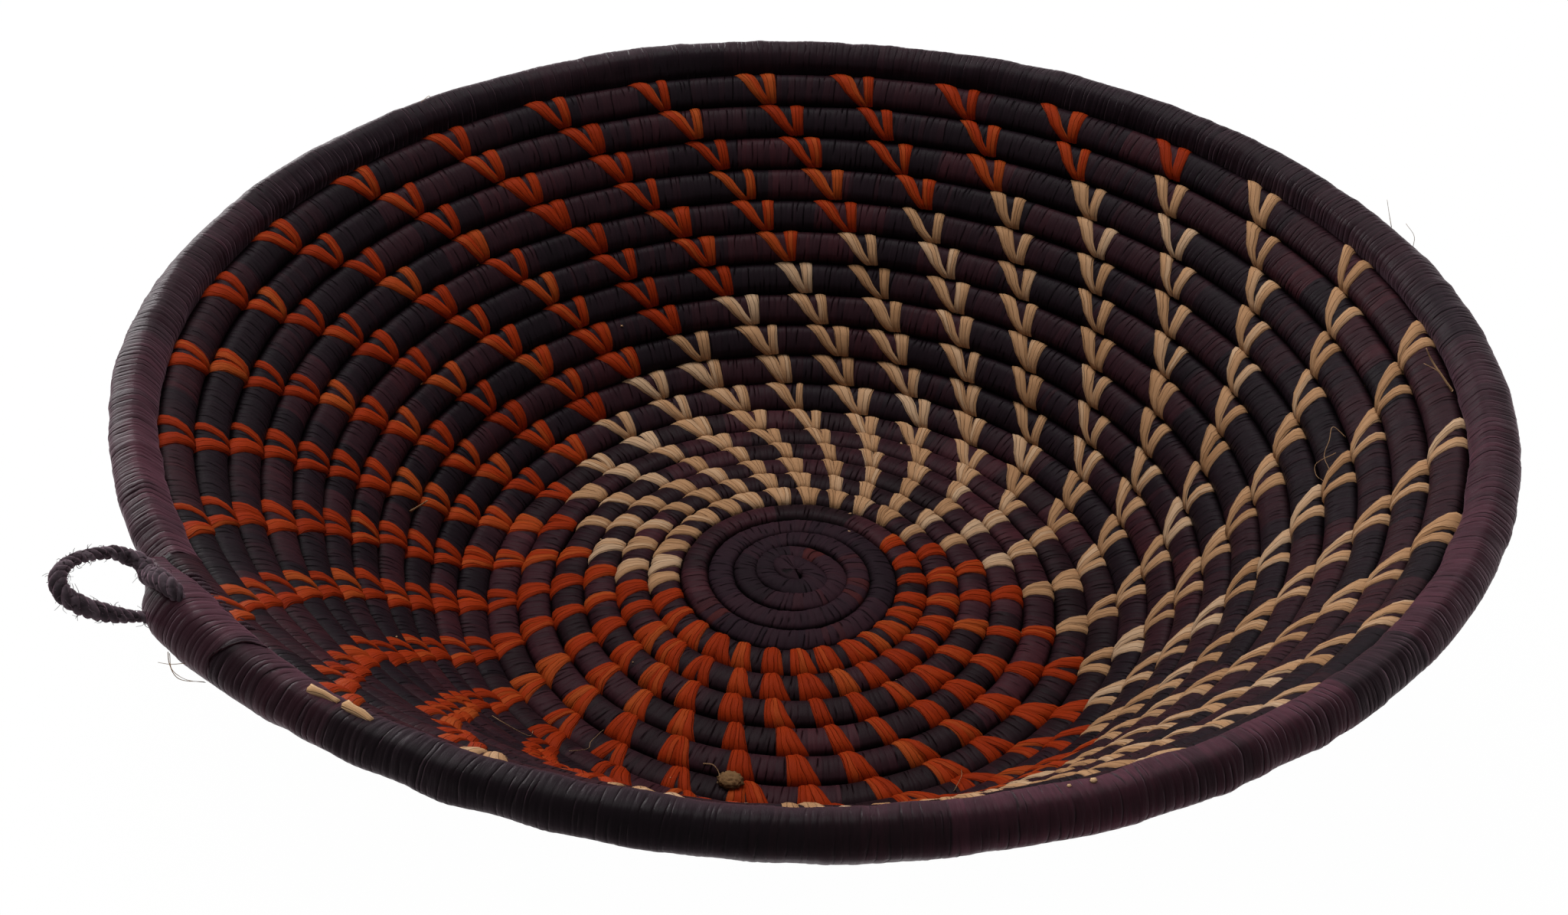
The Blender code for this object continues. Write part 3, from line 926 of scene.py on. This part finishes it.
# The start of the coil: the cord is bent back on itself like a hairpin, its two arms pressed
# together round a puckered crease.
startStub = {
    "thickness": 0.0049,
    "topRounds": 1.7,  # its top is half its thickness under the top of the coil here
    # along the fold, across it, and down from the top, in millimetres
    "bend": ((-4.4, 0.9, 1.8), (-3.0, 2.0, 0.2), (0.0, 2.3, 0.0), (3.0, 2.1, 0.0), (5.0, 0.0, 0.1),
             (3.0, -2.1, 0.0), (0.0, -2.3, 0.0), (-3.2, -2.2, 0.2), (-5.2, -1.2, 1.8)),
    "swell": (0.5, 0.9, 1.0, 1.0, 0.95, 1.0, 1.0, 0.95, 0.6),
    "bendMake": {"step": 0.0003, "sides": 20, "rough": 0.12, "lump": 0.0009},
    # a short core closes the crease from below
    "core": ((-4.0, 0.0, 1.9), (-1.3, 0.0, 1.9), (1.3, 0.0, 1.9), (4.0, 0.0, 1.9)),
    "coreSwell": (1.0, 1.0, 1.0, 1.0),
    "coreMake": {"step": 0.0004, "sides": 16, "rough": 0.1, "lump": 0.0009},
}
fold = math.radians(coil["foldAngle"])
stubAlong = Vector((math.cos(fold), math.sin(fold), 0.0))
stubAcross = Vector((-math.sin(fold), math.cos(fold), 0.0))
stubTop = coilPoint(startStub["topRounds"], 90.0, 0.0).z - startStub["thickness"] * 0.5


def stubArm(places, swell, seed, make):
    points = [Vector((*coil["axis"], stubTop - down / 1000)) + stubAlong * (a / 1000)
              + stubAcross * (b / 1000) for a, b, down in places]
    return strandThrough(points, startStub["thickness"] / 2 * np.array(swell), seed, make)


arms = [stubArm(startStub["bend"], startStub["swell"], 91, startStub["bendMake"]),
        stubArm(startStub["core"], startStub["coreSwell"], 93, startStub["coreMake"])]
finishPiece(joinPieces("startStub", arms), centreRaffia, "bowl")

# Loose ends: hairs, frayed strands and pale cut ends that were never trimmed. Of each: its
# thickness, and the way it runs as places on the coil: rounds, degrees and millimetres off it.
looseEnds = {
    "frayRight": (0.00035, ((21.836, 30, 0.0), (21.833, 60, 2.5), (21.830, 70, 5.0),
                            (21.829, 72, 7.5))),
    "frayRightLow": (0.00018, ((21.836, 30, 0.2), (21.840, 50, 2.0), (21.842, 60, 5.0))),
    "frayRightHigh": (0.00018, ((21.836, 36, 0.2), (21.831, 60, 1.8), (21.828, 80, 3.5))),
    "curlRight": (0.00016, ((19.827, 150, 0.2), (18.825, 60, 2.0), (18.829, 76, 1.2),
                            (18.834, 92, 1.0), (18.840, 92, 0.3))),
    "curlRightLow": (0.00014, ((18.835, 70, 0.6), (18.8365, 116, 1.6), (18.839, 125, 1.2),
                               (18.843, 116, 0.2))),
    "hairNear": (0.00018, ((9.126, 60, 0.1), (9.120, 62, 0.5), (9.116, 40, 0.4),
                           (10.115, 110, 0.3), (10.1145, 90, 0.5))),
    "threadNear": (0.00016, ((13.206, 60, 0.3), (13.201, 62, 0.6), (12.197, 70, 0.4),
                             (11.205, 44, 0.3))),
    "hairBase": (0.00012, ((11.184, 60, 0.2), (11.1777, 84, 1.5), (10.183, 70, 1.5),
                           (9.188, 40, 0.3))),
    "hairBaseRight": (0.00012, ((11.002, 60, 0.1), (10.996, 84, 1.2), (9.989, 60, 0.6))),
    "uprightOrange": (0.0004, ((14.334, 108, 0.1), (14.3335, 100, 3.0), (14.333, 96, 6.0))),
    "hairRim": (0.00012, ((22.768, -10, 0.1), (22.766, 10, 2.0), (22.764, 20, 4.5))),
    "hairRimLow": (0.00012, ((22.778, -10, 0.1), (22.777, 0, 1.6), (22.774, 20, 3.0))),
    "hairRimFar": (0.00014, ((22.46, 30, 0.1), (22.458, 50, 1.6), (22.455, 56, 1.2))),
    "arcLeft": (0.00014, ((23.206, -70, 0.2), (23.2028, -64, 1.6), (23.1985, -62, 2.6),
                          (23.194, -64, 0.3))),
    "arcLeftInner": (0.00010, ((23.205, -66, 0.2), (23.2005, -60, 2.2), (23.197, -60, 2.0),
                               (23.1935, -62, 0.3))),
    "sliverNear": (0.0017, ((23.1722, 52, -0.4), (23.1693, 58, 0.0), (23.1660, 62, -0.4))),
    "sliverNearRight": (0.0017, ((23.1643, 62, -0.4), (23.1611, 58, 0.0), (23.1577, 56, -0.4))),
    "whiskerLeft": (0.00010, ((23.199, -50, 0.1), (23.200, -44, 2.5), (23.201, -40, 4.0))),
}
fibre = {"step": 0.0007, "sides": 5, "rough": 0.2, "lump": 0.002, "taper": (0.7, 0.4)}
made = []
for number, (thick, way) in enumerate(looseEnds.values()):
    points = [coilPoint(rounds, degrees, lift / 1000) for rounds, degrees, lift in way]
    radii = np.linspace(*(thick * share for share in fibre["taper"]), len(points))
    made.append(strandThrough(points, radii, 100 + number, fibre))
fibreStraw = stripRaffia("raffia fibre, natural straw",
                         ((0.15, "b48c66"), (0.5, "c8a480"), (0.85, "d8bc9a")), 0.1, 0.7)
bundleEnd = stripRaffia("raffia bundle, cut across",
                        ((0.15, "5a432e"), (0.5, "74573a"), (0.85, "8b6a4c")), 0.1, 0.8)
finishPiece(joinPieces("looseFibres", made), fibreStraw, "bowl")

# the fuzz on the loop, its knot and its tail
fuzz = {
    "loopHairs": 150,
    "knotHairs": 26,
    "tailHairs": 30,
    "length": (0.0005, 0.0014),
    "radii": (0.00006, 0.000054, 0.00003),
    "step": 0.0002, "sides": 4, "rough": 0.1, "lump": 0.001,
    "clearEnds": 10,  # no hairs where the loop tips against its neighbours
}


def fuzzOn(name, curve, thick, body, count, seed):
    random = np.random.default_rng(seed)
    tangent, normals, sideways = pathFrames(curve)
    margin = min(fuzz["clearEnds"], len(curve) // 3)
    made = []
    for number in range(count):
        k = int(random.integers(margin, len(curve) - margin))
        angle = random.uniform(0, 2 * np.pi)
        outward = np.cos(angle) * normals[k] + np.sin(angle) * sideways[k]
        reach = random.uniform(*fuzz["length"])
        lean = tangent[k] * random.normal(0, 0.8) + random.normal(0, 0.4, 3)
        base = curve[k] + outward * thick[k] * 0.8
        points = [base, base + outward * reach * 0.6 + lean * reach * 0.2,
                  base + (outward * 0.8 + lean) * reach]
        made.append(strandThrough(points, fuzz["radii"], seed + number, fuzz))
    return finishPiece(joinPieces(name, made), loopRaffia, body)


fuzzOn("loopFuzz", loopCurve, loopThick, "loop", fuzz["loopHairs"], 200)
fuzzOn("knotFuzz", knotCurve, knotThick, "bowl", fuzz["knotHairs"], 400)
fuzzOn("tailFuzz", tailCurve, tailThick, "bowl", fuzz["tailHairs"], 500)

# Crumbs: pale specks of cut straw in the grooves, pale cut ends beside some stitches and one
# crumpled tuft on the base. Places are in rounds and degrees.
crumbs = {
    "specks": 46,
    "speckSize": (0.00016, 0.00034),
    "speckRounds": (3, 21.5),
    "speckDegrees": (8.0, 20.0, 75.0, 165.0),
    "speckLift": 0.0001,
    "rimSpecks": ((23.0273, 0.0005), (23.0225, 0.0008)),  # rounds and size
    "rimDegrees": 64.0,
    "cutEnd": 0.0005,
    "cutLonger": (0.8, 1.5),
    "cutFrom": 1400,  # degrees from the splice
    "cutPlace": (12.0, 0.0003),  # degrees and lift
    "cutAside": 0.0022 / (2 * math.pi * 0.1),  # beside its stitch, in rounds
    "tuft": (10.1082, 100.0, 0.0009),
    "tuftSize": (0.0028, 0.0023, 0.0015),
    "foldDepth": 0.06,
    "folds": (11, 3),  # round it, and how they lean
    "crumple": 0.05,
}


def crumb(place, size, seed, detail):
    deselectAll()
    bpy.ops.mesh.primitive_ico_sphere_add(subdivisions=detail, radius=1.0, calc_uvs=True)
    piece = bpy.context.object
    random = np.random.default_rng(seed)
    corners = cornersOf(piece)
    spread = crumbs["folds"][0] * np.arctan2(corners[:, 1:2], corners[:, :1])
    folds = 1 + crumbs["foldDepth"] * np.sin(spread + crumbs["folds"][1] * corners[:, 2:])
    folds += random.normal(0, crumbs["crumple"], (len(corners), 1))
    spun = Matrix.Rotation(random.uniform(0, 2 * np.pi), 3, "Z") @ Matrix.Diagonal(size)
    corners = (corners * folds) @ np.array(spun).T + np.array(place)
    piece.data.vertices.foreach_set("co", corners.ravel())
    bpy.ops.object.shade_smooth()
    return piece


random = np.random.default_rng(17)
made = []
for number in range(crumbs["specks"]):
    size = random.uniform(*crumbs["speckSize"])
    rounds, degrees = random.uniform(*crumbs["speckRounds"]), random.choice(crumbs["speckDegrees"])
    place = coilPoint(rounds, degrees, crumbs["speckLift"])
    made.append(crumb(place, (size * random.uniform(1, 2), size, size), number, 1))
for rounds, size in crumbs["rimSpecks"]:
    place = coilPoint(rounds, crumbs["rimDegrees"], 0.0)
    made.append(crumb(place, (size, size * 0.8, size * 0.4), 60, 1))
for place in allPlaces[~natural]:
    if random.uniform() < sewing["stubShare"] and place > crumbs["cutFrom"]:
        rounds = place / 360 + coil["discEnd"] - 0.5 - crumbs["cutAside"]
        size = crumbs["cutEnd"]
        longer = size * random.uniform(*crumbs["cutLonger"])
        beside = coilPoint(rounds, *crumbs["cutPlace"])
        made.append(crumb(beside, (longer, size, size), int(place), 1))
finishPiece(joinPieces("strawCrumbs", made), fibreStraw, "bowl")
tuft = crumb(coilPoint(*crumbs["tuft"]), crumbs["tuftSize"], 7, 4)
tuft.name = "strawTuft"
finishPiece(tuft, bundleEnd, "bowl")
print("loose ends and crumbs laid")

# Studio: a white sweep of floor in a white room, a large soft light above and behind, a low one
# behind on the left and a weak one in front.
studio = {
    "floorSize": 6.0,
    "floorPlace": (0, 0, -0.0002),
    "floorColour": "f8f8f8",
    "roomLight": 0.21,
    "floorGlow": 0.99,
    "position": (-0.003812, -0.392503, 0.334027),
    "yaw": -0.2295,
    "pitch": -36.2149,
    "roll": 1.6966,
    "focalPixels": 2800.0,
    "frameWidth": 2048.0,
    "sensor": 36.0,
    "clip": 0.01,
}
lamps = {
    # name: place, target, width and height, power
    "softboxAbove": ((-0.22, 0.50, 1.1), (0, 0, 0.03), (1.0, 0.8), 15.5),
    "softboxLeft": ((-0.90, 1.00, 0.24), (-0.15, 0, 0.08), (0.9, 0.45), 12.0),
    "fillFront": ((0.4, -0.8, 1.1), (0, 0, 0.03), (0.9, 0.9), 1.2),
}
white = (1, 1, 1, 1)


def shownPlain(add):
    # 1 where the backdrop is seen, mirrored or looked at through something clear, and else 0
    rays = add("LightPath").outputs
    shown = rays["Is Camera Ray"]
    for name in ("Is Glossy Ray", "Is Transmission Ray"):
        shown = add("Math MAXIMUM", {0: shown, 1: rays[name]})
    return shown


def addFloor():
    deselectAll()
    bpy.ops.mesh.primitive_plane_add(size=studio["floorSize"], location=studio["floorPlace"])
    floor = bpy.context.object
    floor.name = "studioFloor"
    material, add, shader = newMaterial("white studio sweep")
    feed(shader, {"Base Color": linear(studio["floorColour"]), "Roughness": 0.9})
    glow = add("Emission", {"Color": white, "Strength": 1.0})
    share = add("Math MULTIPLY", {0: shownPlain(add), 1: studio["floorGlow"]})
    mixed = add("MixShader", {0: share, 1: shader, 2: glow})
    feed(material.node_tree.nodes["Material Output"], {"Surface": mixed})
    floor.data.materials.append(material)


def addWorld():
    world = bpy.data.worlds.new("white room")
    bpy.context.scene.world = world
    world.use_nodes = True
    add = partial(addNode, world.node_tree)
    strength = add("MapRange", {0: shownPlain(add), 3: studio["roomLight"], 4: 1.0})
    feed(world.node_tree.nodes["Background"], {"Color": white, "Strength": strength})


def addLamp(name, place, target, size, power):
    lamp = bpy.data.lights.new(name, "AREA")
    lamp.shape = "RECTANGLE"
    lamp.size, lamp.size_y = size
    lamp.energy = power
    holder = newObject(name, lamp)
    holder.location = place
    holder.rotation_euler = (Vector(target) - Vector(place)).to_track_quat("-Z", "Y").to_euler()


def addCamera():
    yaw, pitch, roll = (math.radians(studio[key]) for key in ("yaw", "pitch", "roll"))
    ahead = Vector((math.sin(yaw), math.cos(yaw), 0.0))
    right = Vector((math.cos(yaw), -math.sin(yaw), 0.0))
    forward = ahead * math.cos(pitch) + vertical * math.sin(pitch)
    up = right.cross(forward)
    rolledRight = right * math.cos(roll) + up * math.sin(roll)
    rolledUp = up * math.cos(roll) - right * math.sin(roll)
    data = bpy.data.cameras.new("photoCamera")
    data.sensor_fit = "HORIZONTAL"
    data.sensor_width = studio["sensor"]
    data.lens = studio["focalPixels"] * studio["sensor"] / studio["frameWidth"]
    data.clip_start = studio["clip"]
    data.dof.use_dof = False
    camera = newObject("photoCamera", data)
    turn = Matrix((rolledRight, rolledUp, -forward)).transposed()
    camera.matrix_world = Matrix.Translation(studio["position"]) @ turn.to_4x4()
    bpy.context.scene.camera = camera


addFloor()
addWorld()
for name, settings in lamps.items():
    addLamp(name, *settings)
addCamera()
bpy.context.scene.view_settings.view_transform = "Standard"
print("studio set")
